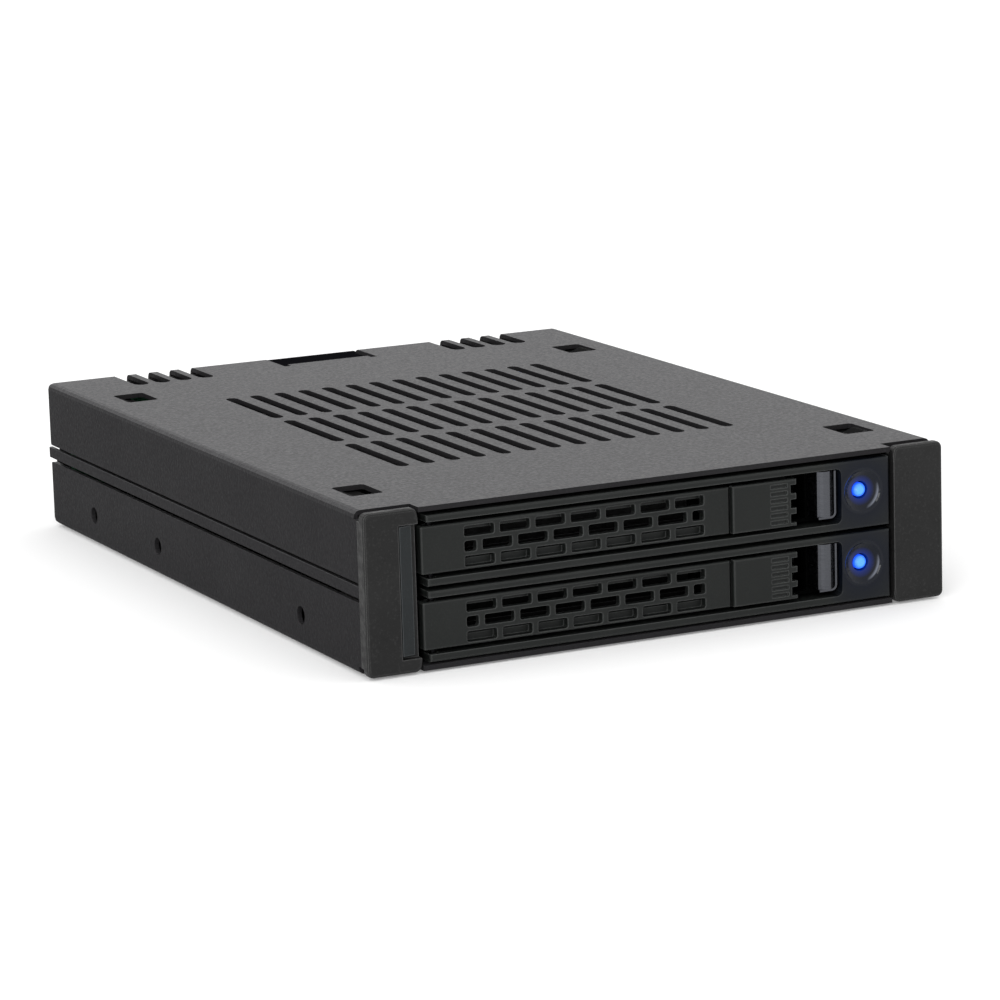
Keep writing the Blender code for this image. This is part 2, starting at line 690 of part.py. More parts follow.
def sled_section():
    """Section of the sled: floor, drive rails and grooved side walls."""
    right = [(SLED_HALF, 0.4), (SLED_HALF, RUNNER_LOW - 0.4), (RUNNER_FACE - 0.4, RUNNER_LOW - 0.4),
             (RUNNER_FACE - 0.4, RUNNER_HIGH + 0.4), (SLED_HALF, RUNNER_HIGH + 0.4), (SLED_HALF, 10.6),
             (SLED_HALF - 2.5, 10.6), (SLED_HALF - 2.5, 1.4), (DRIVE_HALF + 1, 1.4),
             (DRIVE_HALF + 1, 5.0), (DRIVE_HALF, 5.0), (DRIVE_HALF, 1.4)]
    return right + mirrored(right)


def make_sled(level, bottom, parent, finish):
    start = FRAME_BACK + GAP
    wall_back = start + 2.2
    sled = publish(f"tray_sled_{level}", lambda bm: prism(bm, sled_section(), 1, start, SLED_REAR),
                   finish, parent, bottom)
    sled["lift"] = bottom
    add(sled, lambda bm: box(bm, (-SLED_HALF + 2, start + 0.1, 1.0), (SLED_HALF - 2, wall_back, 10.5)), "wall")

    def openings(bm):
        box(bm, (-34, start - 1, 2.6), (30, wall_back + 1, 9.2))
        box(bm, (36.7, start - 1, LED_Z - 0.95), (38.7, wall_back + 1, LED_Z + 0.95))
        for x in SLED_SCREWS:
            rod(bm, (x, SLED_SCREW_Z), 1.1, 1, start - 1, wall_back + 1, 12)
        air_windows(bm, 0, 2)
        for side in (-1, 1):
            for y in DRIVE_SCREW_ROWS:
                rod(bm, (side * DRIVE_SCREW_X, y), 1.7, 2, 0, 2, 12)

    cut(sled, openings, "openings")
    return wall_back


def make_indicator(level, bottom, parent, lamp, clear):
    """Lens in the dish and the light pipe behind it."""
    profile = [(0, 0.95), (0.62, 1.05), (1.0, 1.3), (1.15, 1.65), (1.15, 6.7), (0, 6.7)]
    publish(f"led_lens_{level}", lambda bm: turned(bm, profile, (LED_X, LED_Z), 1, 16),
            lamp, parent, bottom, True)
    outline = [(35.3, 7.3), (36.7, 7.3), (36.7, 8.2), (38.4, 9.6), (38.4, SLED_REAR - GAP), (37.0, SLED_REAR - GAP),
               (37.0, 10.2), (35.3, 8.8)]
    publish(f"light_pipe_{level}", lambda bm: prism(bm, outline, 2, LED_Z - 0.65, LED_Z + 0.65),
            clear, parent, bottom)


def make_strike(level, bottom, parent, finish):
    """Bright bulging bar at the far end of the finger recess, with a raised edge on two sides."""
    back, low, high = POCKET_BACK - GAP, 2.05, POCKET_TOP - GAP
    rim, front, bulge = 0.35, 0.95, 1.1
    half = (STRIKE_RIGHT - rim / 2 - STRIKE_LEFT) / 2
    middle = STRIKE_LEFT + half

    def bar(bm):
        outline = [(STRIKE_LEFT + 2 * half, back), (STRIKE_LEFT, back)]
        for k in range(9):
            angle = math.radians(180 + 22.5 * k)
            outline.append((middle + half * math.cos(angle), front + bulge * (1 + math.sin(angle))))
        prism(bm, outline, 2, low + rim / 2, high)

    def edge(bm):
        radius = 0.95
        corner = (STRIKE_RIGHT - radius, low + radius)
        outline = [(STRIKE_LEFT, low)] + arc(corner, radius, 270, 360, 4) + [(STRIKE_RIGHT, high)]
        outline += [(STRIKE_RIGHT - rim, high)] + arc(corner, radius - rim, 360, 270, 4)
        outline.append((STRIKE_LEFT, low + rim))
        prism(bm, outline, 1, front + 0.05, back)

    strike = publish(f"strike_{level}", bar, finish, parent, bottom, True)
    strike["lift"] = bottom
    add(strike, edge, "edge")


def make_tray(level, bottom, finishes):
    parent = pivot(f"tray_{level}_axis", 0.0, 0.0, bottom)
    make_tray_front(level, bottom, parent, finishes["tray_plastic"])
    seat = make_sled(level, bottom, parent, finishes["guide_plastic"]) + GAP
    make_indicator(level, bottom, parent, finishes["lamp"], finishes["clear"])
    make_strike(level, bottom, parent, finishes["bright_metal"])
    for number, x in enumerate(SLED_SCREWS, 1):
        screw(f"sled_screw_{level}_{number}", x, SLED_SCREW_Z, seat, 8.0, 0.75, finishes["spring_steel"],
              parent, bottom)
    publish(f"hinge_pin_{level}", lambda bm: rod(bm, (HINGE_X, HINGE_Y), PIN_RADIUS, 2, 0.7, TRAY_HEIGHT - 0.7),
            finishes["spring_steel"], parent, bottom, True)
    leaf = [(-37.8, 4.5), (-36.1, 3.35), (-34.5, 4.5), (-34.8, 4.5), (-36.1, 3.6), (-37.5, 4.5)]
    publish(f"lever_spring_{level}", lambda bm: prism(bm, leaf, 2, 3.4, 7.8),
            finishes["spring_steel"], parent, bottom)


# ---------------------------------------------------------------- levers and latches

def vent_slots(bm):
    """Three courses of slots laid like bricks, the middle one shifted by half a slot."""
    length = (VENT_RIGHT - VENT_LEFT - (VENT_COUNT - 1) * VENT_WEB) / VENT_COUNT
    step = length + VENT_WEB
    for course in (-1, 0, 1):
        low = VENT_CENTRE + course * VENT_PITCH - VENT_HEIGHT / 2
        shift = 0.0 if course else -step / 2
        for k in range(VENT_COUNT + (course == 0)):
            left = max(VENT_LEFT + shift + k * step, VENT_LEFT)
            right = min(VENT_LEFT + shift + k * step + length, VENT_RIGHT)
            prism(bm, soft_rectangle((left, low), (right, low + VENT_HEIGHT), 0.22), 1,
                  LEVER_FACE - 1, LEVER_FACE + 1.4)


def make_lever(level, bottom, finish, metal):
    parent = pivot(f"lever_{level}_axis", HINGE_X, HINGE_Y, bottom)

    def door(bm):
        def chosen(middle):
            return middle.y < LEVER_FACE + 0.01 or middle.x < LEVER_LEFT + 0.01

        soft_box(bm, (LEVER_LEFT, LEVER_FACE, LEVER_LOW), (LEVER_RIGHT, LEVER_BACK, LEVER_HIGH), 0.22, 2, chosen)

    def knuckle_and_tongue(bm):
        rod(bm, (HINGE_X, HINGE_Y), 1.25, 2, LEVER_LOW + 0.1, LEVER_HIGH - 0.1)
        box(bm, (LEVER_RIGHT - 0.6, 1.5, LEVER_LOW + 0.4), (22.6, 2.7, LEVER_HIGH - 0.4))
        rod(bm, (8.6, VENT_CENTRE), 0.35, 1, LEVER_BACK - 0.6, 4.1, 8)

    def behind(bm):
        box(bm, (VENT_LEFT - 0.3, LEVER_FACE + 1.2, 3.4), (VENT_RIGHT + 0.35, LEVER_BACK + 1, 7.85))
        rod(bm, (HINGE_X, HINGE_Y), PIN_RADIUS + 0.25, 2, 0, TRAY_HEIGHT)
        box(bm, (13.9, 0.9, 4.3), (21.1, 3.4, 6.7))

    lever = publish(f"lever_{level}", door, finish, parent, bottom, True)
    lever["lift"] = bottom
    add(lever, knuckle_and_tongue, "knuckle")
    cut(lever, behind, "behind")
    cut(lever, vent_slots, "vents")
    make_latch_spring(level, bottom, parent, metal)


def make_latch_spring(level, bottom, parent, metal):
    """Small tension spring between the lever's post and the latch."""
    turns, steps, radius, wire, sides = 5, 8, 0.42, 0.1, 5
    start, end, depth = 9.3, 13.5, 3.65

    def coil(bm):
        rings = []
        for i in range(turns * steps + 1):
            angle = 2 * math.pi * i / steps
            x = start + (end - start) * i / (turns * steps)
            ring = []
            for k in range(sides):
                around = 2 * math.pi * k / sides
                reach = radius + wire * math.cos(around)
                ring.append(bm.verts.new((x + wire * math.sin(around), depth + reach * math.cos(angle),
                                          VENT_CENTRE + reach * math.sin(angle))))
            rings.append(ring)
        for ring, following in zip(rings, rings[1:]):
            for k in range(sides):
                bm.faces.new((ring[k], ring[(k + 1) % sides], following[(k + 1) % sides], following[k]))
        bm.faces.new(rings[0])
        bm.faces.new(rings[-1])

    publish(f"latch_spring_{level}", coil, metal, parent, bottom, True)


def make_latch(level, bottom, finish):
    parent = pivot(f"latch_{level}_axis", LATCH_LEFT, LATCH_FACE, bottom)

    def plate(bm):
        def chosen(middle):
            return middle.y < LATCH_FACE + 0.01

        soft_box(bm, (LATCH_LEFT, LATCH_FACE, LATCH_LOW), (LATCH_RIGHT, 1.2, LATCH_HIGH), 0.22, 2, chosen)

    def foot(bm):
        outline = [(0.8, 4.65), (3.0, 4.65), (3.0, 4.0), (3.6, 4.0), (3.6, 7.0), (3.0, 7.0),
                   (3.0, 6.35), (0.8, 6.35)]
        prism(bm, outline, 0, 14.2, 17.7)

    def grip(bm):
        for k in range(6):
            low = 2.45 + k * 1.15
            box(bm, (19.3, LATCH_FACE - 1, low), (22.3, LATCH_FACE + 0.35, low + 0.6))
        for course in (-1, 0, 1):
            middle = VENT_CENTRE + course * VENT_PITCH
            box(bm, (22.9, LATCH_FACE - 1, middle - 0.7), (LATCH_RIGHT + 1, 2, middle + 0.7))

    latch = publish(f"latch_{level}", plate, finish, parent, bottom, True)
    latch["lift"] = bottom
    add(latch, foot, "foot")
    cut(latch, grip, "grip")


# ---------------------------------------------------------------- assembly

def main():
    for obj in list(bpy.data.objects):
        bpy.data.objects.remove(obj, do_unlink=True)
    finishes = make_materials()
    make_cover(finishes["steel_paint"])
    make_chassis(finishes["steel_paint"])
    for word, side in (("left", -1), ("right", 1)):
        make_side_rail(f"side_rail_{word}", side, finishes["steel_paint"])
        make_guide(f"guide_{word}", side, finishes["guide_plastic"])
        ear = make_ear(f"bezel_ear_{word}", side, finishes["ear_plastic"])
        if side < 0:
            make_insert(ear, finishes["ear_plastic"])
    make_divider(finishes["spring_steel"])
    make_board(finishes["board"], finishes["spring_steel"], finishes["lamp"])
    make_rear(finishes["steel_paint"], finishes["connector"])
    for level, bottom in TRAY_BOTTOMS.items():
        make_drive_connector(level, bottom, finishes["connector"])
        make_tray(level, bottom, finishes)
        make_lever(level, bottom, finishes["tray_plastic"], finishes["spring_steel"])
        make_latch(level, bottom, finishes["tray_plastic"])


main()
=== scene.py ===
"""Drive rack with two hot-swap trays: materials, small parts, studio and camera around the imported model."""

import math

import bmesh
import bpy
from mathutils import Matrix, Vector


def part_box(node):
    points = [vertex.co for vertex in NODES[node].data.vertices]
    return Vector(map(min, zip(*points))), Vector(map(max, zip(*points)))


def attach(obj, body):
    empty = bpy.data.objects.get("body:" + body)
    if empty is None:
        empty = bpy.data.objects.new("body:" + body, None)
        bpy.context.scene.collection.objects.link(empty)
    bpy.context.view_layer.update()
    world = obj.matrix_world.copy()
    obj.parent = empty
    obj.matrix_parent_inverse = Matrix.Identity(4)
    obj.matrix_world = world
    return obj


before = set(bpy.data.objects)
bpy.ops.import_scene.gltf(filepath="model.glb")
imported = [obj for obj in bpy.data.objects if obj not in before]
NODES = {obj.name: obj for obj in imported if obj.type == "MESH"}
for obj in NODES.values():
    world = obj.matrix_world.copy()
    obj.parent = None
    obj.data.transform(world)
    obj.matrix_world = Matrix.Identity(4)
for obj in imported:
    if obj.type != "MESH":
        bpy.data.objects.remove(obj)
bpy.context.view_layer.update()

LEVELS = ("lower", "upper")
MM = 0.001
BLACK = (0.0, 0.0, 0.0)


# ---------------------------------------------------------------- node helpers

class Graph:
    """A material's node tree with short calls for the nodes used here; lengths are in metres."""

    def __init__(self, name):
        self.material = bpy.data.materials.new(name)
        self.material.use_nodes = True
        self.tree = self.material.node_tree
        self.tree.nodes.clear()
        self.coordinates = self.node("ShaderNodeTexCoord").outputs["Object"]
        self.shader = self.node("ShaderNodeBsdfPrincipled")
        output = self.node("ShaderNodeOutputMaterial")
        self.join(self.shader.outputs["BSDF"], output.inputs["Surface"])

    def node(self, kind, **settings):
        made = self.tree.nodes.new(kind)
        for key, value in settings.items():
            setattr(made, key, value)
        return made

    def join(self, output, socket):
        self.tree.links.new(output, socket)

    def feed(self, value, socket):
        """Give a socket a constant, a colour of three numbers or another node's output."""
        if isinstance(value, float):
            socket.default_value = value
        elif isinstance(value, tuple):
            socket.default_value = (*value, 1.0)
        else:
            self.join(value, socket)

    def mapped(self, setting, values):
        """The object's coordinates with one setting of a mapping, such as Scale or Rotation."""
        mapping = self.node("ShaderNodeMapping")
        mapping.inputs[setting].default_value = values
        self.join(self.coordinates, mapping.inputs["Vector"])
        return mapping.outputs["Vector"]

    def noise(self, scale, detail=2.0, roughness=0.5, vector=None):
        made = self.node("ShaderNodeTexNoise")
        made.inputs["Scale"].default_value = scale
        made.inputs["Detail"].default_value = detail
        made.inputs["Roughness"].default_value = roughness
        self.join(vector or self.coordinates, made.inputs["Vector"])
        return made.outputs["Fac"]

    def cells(self, scale, feature="F1"):
        made = self.node("ShaderNodeTexVoronoi", feature=feature)
        made.inputs["Scale"].default_value = scale
        self.join(self.coordinates, made.inputs["Vector"])
        return made.outputs["Distance"]

    def spread(self, value, low, high, start=0.0, end=1.0):
        """Map the range from `start` to `end` onto the range from `low` to `high`."""
        made = self.node("ShaderNodeMapRange")
        made.inputs["From Min"].default_value = start
        made.inputs["From Max"].default_value = end
        made.inputs["To Min"].default_value = low
        made.inputs["To Max"].default_value = high
        self.join(value, made.inputs["Value"])
        return made.outputs["Result"]

    def rise(self, value, start, end):
        """0 up to `start` and 1 from `end` on."""
        return self.spread(value, 0.0, 1.0, start, end)

    def mixed(self, factor, first, second, kind="RGBA"):
        """Colours, or numbers where `kind` is FLOAT, from `first` at 0 to `second` at 1."""
        made = self.node("ShaderNodeMix", data_type=kind)
        self.join(factor, made.inputs["Factor"])
        self.feed(first, made.inputs["A"])
        self.feed(second, made.inputs["B"])
        return made.outputs["Result"]

    def combined(self, operation, first, second):
        made = self.node("ShaderNodeMath", operation=operation)
        self.join(first, made.inputs[0])
        self.join(second, made.inputs[1])
        return made.outputs["Value"]

    def from_point(self, operation, point):
        """Vector arithmetic between the object's coordinates and a fixed point."""
        made = self.node("ShaderNodeVectorMath", operation=operation)
        self.join(self.coordinates, made.inputs[0])
        made.inputs[1].default_value = point
        return made

    def along(self, vector, direction):
        dot = self.node("ShaderNodeVectorMath", operation="DOT_PRODUCT")
        self.join(vector, dot.inputs[0])
        dot.inputs[1].default_value = direction
        return dot.outputs["Value"]

    def component(self, vector, axis):
        parts = self.node("ShaderNodeSeparateXYZ")
        self.join(vector, parts.inputs["Vector"])
        return parts.outputs[axis]

    def surface_normal(self):
        return self.node("ShaderNodeNewGeometry").outputs["Normal"]

    def highlight_edge_mask(self, inside, radius):
        """1 on edges and 0 on flat faces, from how far a rounded normal turns away."""
        bevel = self.node("ShaderNodeBevel", samples=4)
        bevel.inputs["Radius"].default_value = radius
        dot = self.node("ShaderNodeVectorMath", operation="DOT_PRODUCT")
        self.join(bevel.outputs["Normal"], dot.inputs[0])
        self.join(self.surface_normal(), dot.inputs[1])
        return self.spread(dot.outputs["Value"], 1.0, 0.0, inside, 1.0)

    def bumps(self, height, strength, distance):
        made = self.node("ShaderNodeBump")
        made.inputs["Strength"].default_value = strength
        made.inputs["Distance"].default_value = distance
        self.join(height, made.inputs["Height"])
        return made.outputs["Normal"]

    def glow(self, colour, strength):
        self.join(colour, self.shader.inputs["Emission Color"])
        self.shader.inputs["Emission Strength"].default_value = strength

    def finish(self, colour, roughness, normal=None, metallic=0.0, **constants):
        """Feed the shader; a constant's name is its socket's, with _ for a space."""
        self.shader.inputs["Metallic"].default_value = metallic
        self.feed(colour, self.shader.inputs["Base Color"])
        self.feed(roughness, self.shader.inputs["Roughness"])
        if normal is not None:
            self.join(normal, self.shader.inputs["Normal"])
        for name, value in constants.items():
            self.shader.inputs[name.replace("_", " ")].default_value = value
        return self.material


def scaled(colour, factor):
    return tuple(part * factor for part in colour)


def grey(level):
    return (level, level, level)


# ---------------------------------------------------------------- materials

def powder_coat(name, base, light):
    """Fine orange-peel powder coat with a little mottling and pale specks, and a painted sheen: more specular
    on faces turned up, less on the sides.
    """
    graph = Graph(name)
    grain = graph.noise(3200.0, detail=3.0, roughness=0.7)
    peel = graph.cells(1900.0, "SMOOTH_F1")
    cloud = graph.noise(38.0, detail=3.0, roughness=0.55)
    tone = graph.mixed(graph.rise(cloud, 0.35, 0.65), base, light)
    speckled = graph.mixed(graph.spread(grain, 0.0, 0.35, 0.5, 0.75), tone, scaled(light, 1.8))
    height = graph.combined("ADD", graph.spread(grain, 0.0, 0.6), graph.spread(peel, 0.0, 0.8))
    normal = graph.bumps(height, strength=0.35, distance=0.00014)
    rough = graph.spread(graph.noise(1800.0, detail=3.0, roughness=0.7), 0.44, 0.60, 0.35, 0.65)
    facing_up = graph.component(graph.surface_normal(), "Z")
    # Painted sheen: the specular level follows how far a face turns up, so tops read lighter and sides
    # darker.
    painted_top_sheen = graph.spread(facing_up, 0.02, 0.44, 0.2, 0.95)
    graph.join(painted_top_sheen, graph.shader.inputs["Specular IOR Level"])
    return graph.finish(speckled, rough, normal, Specular_Tint=(0.97, 0.955, 1.0, 1.0))


def moulded_surface(graph, base, light, grain_scale, strength, rough_low, rough_high):
    """Colour, roughness and normal of moulded plastic: eroded grain, fine flecks and edges painted paler as a
    highlight.
    """
    grain = graph.noise(grain_scale, detail=4.0, roughness=0.6)
    fine = graph.noise(grain_scale * 3.1, detail=2.0, roughness=0.5)
    cloud = graph.noise(60.0, detail=3.0)
    tone = graph.mixed(graph.rise(cloud, 0.3, 0.7), base, light)
    flecked = graph.mixed(graph.spread(fine, 0.0, 0.5, 0.55, 0.75), tone, scaled(light, 2.2))
    # Painted highlight: edges are painted paler, as where light catches them.
    edge_highlight = tuple(0.035 + part * 3.0 for part in light)
    colour = graph.mixed(graph.highlight_edge_mask(inside=0.88, radius=0.00025), flecked, edge_highlight)
    rough = graph.spread(grain, rough_low, rough_high, 0.3, 0.7)
    return colour, rough, graph.bumps(grain, strength, distance=0.0001)


def moulded(name, base, light, grain_scale, strength, rough_low, rough_high, specular=0.17):
    """Moulded plastic of one finish all over."""
    graph = Graph(name)
    colour, rough, normal = moulded_surface(graph, base, light, grain_scale, strength, rough_low, rough_high)
    return graph.finish(colour, rough, normal, Specular_IOR_Level=specular)


def tray_plastic(graph):
    """Satin black of the tray fronts, levers and latches."""
    return moulded_surface(graph, (0.006, 0.007, 0.0065), (0.009, 0.010, 0.0095), grain_scale=2400.0,
                           strength=0.22, rough_low=0.34, rough_high=0.48)


TRAY_SPECULAR = 0.17

# The block around a tray's lamp. Its marks start and end at these distances from the lens.
BLOCK_BLUE = (0.0020, 0.0034, 0.0075)
# Painted shade: tray plastic deeper than the lens front is painted near black.
RECESS_SHADE = (0.0012, 0.0013, 0.0013)
# Colour of the painted highlight on the dish's rim.
RIM_HIGHLIGHT = (0.13, 0.14, 0.17)
HALO_BLUE = (0.001, 0.014, 0.160)
HALO_FADE = (0.0014, 0.0025)
RIM_START, RIM_PEAK, RIM_END = 0.00265, 0.0030, 0.0032
DISH_FADE = (0.0036, 0.0039)
BLUE_FADE = (0.0040, 0.0085)
SHADE_DEPTH_FADE = (0.0012, 0.0030)

# The rim has a painted highlight only on its lower right, where it is this far along this direction.
HIGHLIGHT_SIDE = (0.90, 0.0, -0.44)
HIGHLIGHT_SIDE_FADE = (0.0020, 0.0029)

DISH_ROUGH = 0.17
DISH_SPECULAR = 0.22
SHADE_SPECULAR = 0.02


def tray(name):
    graph = Graph(name)
    colour, rough, normal = tray_plastic(graph)
    return graph.finish(colour, rough, normal, Specular_IOR_Level=TRAY_SPECULAR)


def tray_with_lamp(name, lamp):
    """Tray plastic with a dark, glossy blue block around its lamp, a painted highlight arc on the lamp's
    dish, painted shade deeper in and a painted blue glow around the lens.
    """
    graph = Graph(name)
    plain, rough, normal = tray_plastic(graph)
    distance = graph.from_point("DISTANCE", lamp).outputs["Value"]
    colour = graph.mixed(graph.rise(distance, *BLUE_FADE), BLOCK_BLUE, plain)

    rim = graph.combined("MULTIPLY", graph.rise(distance, RIM_START, RIM_PEAK),
                         graph.spread(distance, 1.0, 0.0, RIM_PEAK, RIM_END))
    offset = graph.from_point("SUBTRACT", lamp).outputs["Vector"]
    # Painted highlight: a pale arc on the lower right of the dish's rim.
    highlight_arc = graph.combined("MULTIPLY", rim, graph.rise(graph.along(offset, HIGHLIGHT_SIDE), *HIGHLIGHT_SIDE_FADE))
    colour = graph.mixed(highlight_arc, colour, RIM_HIGHLIGHT)

    # Painted shade: surfaces deeper behind the lens front turn near black and lose their sheen.
    depth = graph.component(graph.coordinates, "Y")
    painted_shade = graph.rise(depth, *(lamp[1] + inward for inward in SHADE_DEPTH_FADE))
    colour = graph.mixed(painted_shade, colour, RECESS_SHADE)

    beyond_dish = graph.rise(distance, *DISH_FADE)
    gloss = graph.mixed(beyond_dish, DISH_ROUGH, rough, kind="FLOAT")
    front_specular = graph.spread(beyond_dish, DISH_SPECULAR, TRAY_SPECULAR)
    specular = graph.mixed(painted_shade, front_specular, SHADE_SPECULAR, kind="FLOAT")
    graph.join(specular, graph.shader.inputs["Specular IOR Level"])
    graph.glow(graph.mixed(graph.rise(distance, *HALO_FADE), HALO_BLUE, BLACK), 1.0)
    return graph.finish(colour, gloss, normal)


def brushed(name, base, axis_scale, rough_low, rough_high):
    """Metal with fine brush lines that run across the axis of the largest scale."""
    graph = Graph(name)
    lines = graph.noise(1.0, detail=4.0, roughness=0.6, vector=graph.mapped("Scale", axis_scale))
    tone = graph.mixed(graph.rise(lines, 0.3, 0.7), scaled(base, 0.82), base)
    rough = graph.spread(lines, rough_low, rough_high, 0.3, 0.7)
    normal = graph.bumps(lines, strength=0.15, distance=0.00005)
    return graph.finish(tone, rough, normal, metallic=1.0)


def zinc(name, base, rough):
    """Zinc plate with a soft spangle."""
    graph = Graph(name)
    spangle = graph.cells(420.0)
    tone = graph.mixed(graph.rise(spangle, 0.0, 0.8), scaled(base, 0.75), base)
    normal = graph.bumps(spangle, strength=0.06, distance=0.0001)
    return graph.finish(tone, graph.spread(spangle, rough, rough + 0.15), normal, metallic=1.0)


def circuit_board(name):
    """Dark green solder mask, paler along its copper traces."""
    graph = Graph(name)
    traces = graph.node("ShaderNodeTexBrick", offset=0.37)
    traces.inputs["Scale"].default_value = 150.0
    traces.inputs["Mortar Size"].default_value = 0.03
    graph.feed((0.006, 0.045, 0.02), traces.inputs["Color1"])
    graph.feed((0.009, 0.06, 0.026), traces.inputs["Color2"])
    graph.feed((0.02, 0.11, 0.05), traces.inputs["Mortar"])
    graph.join(graph.mapped("Rotation", (math.radians(90), 0, 0)), traces.inputs["Vector"])
    rough = graph.spread(graph.noise(300.0), 0.25, 0.4)
    normal = graph.bumps(traces.outputs["Fac"], strength=0.1, distance=0.00005)
    return graph.finish(traces.outputs["Color"], rough, normal)


def glowing(name, core, rim, strength, centre):
    """Lit lens: brightest at its middle, deeper blue at its rim."""
    graph = Graph(name)
    distance = graph.from_point("DISTANCE", centre).outputs["Value"]
    tone = graph.mixed(graph.rise(distance, 0.0006, 0.0015), core, rim)
    graph.glow(tone, strength)
    return graph.finish(tone, 0.15)


def acrylic(name):
    """Clear acrylic with a slight haze."""
    graph = Graph(name)
    haze = graph.noise(500.0)
    normal = graph.bumps(haze, strength=0.05, distance=0.0001)
    rough = graph.spread(haze, 0.05, 0.18)
    return graph.finish((0.75, 0.82, 0.86), rough, normal, Transmission_Weight=0.85, IOR=1.49)


STEEL = powder_coat("powder_coat", (0.0140, 0.0135, 0.0145), (0.0170, 0.0165, 0.0175))
EAR = moulded("ear_grain", grey(0.007), grey(0.012), 850.0, 0.95, 0.36, 0.62)
INSERT = moulded("insert_grain", (0.009, 0.011, 0.012), (0.012, 0.014, 0.015), 1900.0, 0.35, 0.36, 0.52)
TRAY = tray("tray_satin")
GUIDE_BLACK = moulded("guide_black", grey(0.006), grey(0.009), 1800.0, 0.25, 0.6, 0.8, specular=0.01)
CONNECTOR = moulded("connector_black", (0.004, 0.004, 0.005), (0.006, 0.006, 0.007),
                    2000.0, 0.2, 0.5, 0.7, specular=0.03)
STRIKE = brushed("strike_satin", (0.085, 0.088, 0.098), (300.0, 300.0, 9000.0), 0.22, 0.38)
SHEET_METAL = zinc("zinc_sheet", (0.32, 0.32, 0.33), 0.38)
SCREW = zinc("screw_zinc", (0.55, 0.55, 0.56), 0.25)
PIN = brushed("pin_black_oxide", (0.008, 0.008, 0.009), (300.0, 300.0, 4000.0), 0.35, 0.5)
PORT = moulded("port_black", (0.003, 0.003, 0.004), (0.005, 0.005, 0.006),
               1500.0, 0.2, 0.6, 0.8, specular=0.0)
GOLD = brushed("contact_gold", (0.83, 0.61, 0.25), (2000.0, 300.0, 300.0), 0.2, 0.35)
BOARD = circuit_board("solder_mask")
CLEAR = acrylic("acrylic")

FINISHES = {
    "top_cover": STEEL, "bottom_chassis": STEEL, "side_rail": STEEL, "rear_panel": STEEL,
    "bezel_ear": EAR, "ear_insert": INSERT, "lever_spring": SCREW, "lever": TRAY,
    "latch_spring": SCREW, "latch": TRAY, "guide": GUIDE_BLACK, "tray_sled": GUIDE_BLACK, "strike": STRIKE,
    "bay_divider": SHEET_METAL, "board_screw": SCREW, "sled_screw": SCREW, "hinge_pin": PIN,
    "backplane_board": BOARD, "drive_connector": CONNECTOR, "data_port": PORT, "power_port": PORT,
    "light_pipe": CLEAR,
}

# Edge roundings in millimetres: pieces of the cage, then pieces that each level has.
CAGE_EDGES = {
    "top_cover": 0.20, "bottom_chassis": 0.15, "bezel_ear_left": 0.15, "bezel_ear_right": 0.15,
    "ear_insert": 0.10, "rear_panel": 0.10, "data_port_left": 0.20, "data_port_right": 0.20,
    "power_port": 0.20, "guide_left": 0.15, "guide_right": 0.15, "side_rail_left": 0.12,
    "side_rail_right": 0.12, "bay_divider": 0.08,
}
LEVEL_EDGES = {
    "tray_front": 0.10, "lever": 0.15, "latch": 0.22, "strike": 0.12, "tray_sled": 0.15,
    "drive_connector": 0.15,
}


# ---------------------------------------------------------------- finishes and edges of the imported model

def paint(obj, material):
    obj.data.materials.clear()
    obj.data.materials.append(material)


def middle(node):
    low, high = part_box(node)
    return (low + high) / 2


def paint_frame():
    """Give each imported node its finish, by the longest key that its name starts with."""
    for name, obj in NODES.items():
        if name.startswith(("tray_front", "led_lens", "status_led")):
            continue
        kind = max((key for key in FINISHES if name.startswith(key)), key=len)
        paint(obj, FINISHES[kind])
    for level in LEVELS:
        paint_lamps(level)


def paint_lamps(level):
    """The lit lens, the tray front around it and the status LED on the board."""
    lens = f"led_lens_{level}"
    low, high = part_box(lens)
    front = ((low.x + high.x) / 2, low.y, (low.z + high.z) / 2)
    lens_glow = glowing(f"lens_glow_{level}", core=(0.045, 0.20, 0.95), rim=(0.004, 0.05, 0.75),
                        strength=1.0, centre=front)
    paint(NODES[lens], lens_glow)
    paint(NODES[f"tray_front_{level}"], tray_with_lamp(f"tray_satin_{level}", front))
    status = f"status_led_{level}"
    status_glow = glowing(f"status_glow_{level}", core=(0.1, 0.3, 1.0), rim=(0.02, 0.1, 0.9),
                          strength=0.12, centre=tuple(middle(status)))
    paint(NODES[status], status_glow)


def soften(name, width):
    """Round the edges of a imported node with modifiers; its faces are joined first."""
    obj = NODES[name]
    weld = obj.modifiers.new("join", "WELD")
    weld.merge_threshold = 0.001 * MM
    bevel = obj.modifiers.new("edges", "BEVEL")
    bevel.width = width
    bevel.segments = 2
    bevel.limit_method = "ANGLE"
    bevel.angle_limit = math.radians(30.0)
    bevel.use_clamp_overlap = True
    bevel.harden_normals = True


def soften_frame():
    for name, width in CAGE_EDGES.items():
        soften(name, width * MM)
    for level in LEVELS:
        for name, width in LEVEL_EDGES.items():
            soften(f"{name}_{level}", width * MM)


# ---------------------------------------------------------------- small parts, in millimetres

def new_piece(name, build, material, body, smooth=True):
    """Mesh piece from `build`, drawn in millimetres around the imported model, riding on a body."""
    bm = bmesh.new()
    build(bm)
    bmesh.ops.recalc_face_normals(bm, faces=bm.faces)
    for vert in bm.verts:
        vert.co *= MM
    mesh = bpy.data.meshes.new(name)
    bm.to_mesh(mesh)
    bm.free()
    if smooth:
        mesh.shade_smooth()
        mesh.set_sharp_from_angle(angle=math.radians(35))
    obj = bpy.data.objects.new(name, mesh)
    bpy.context.collection.objects.link(obj)
    mesh.materials.append(material)
    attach(obj, body)


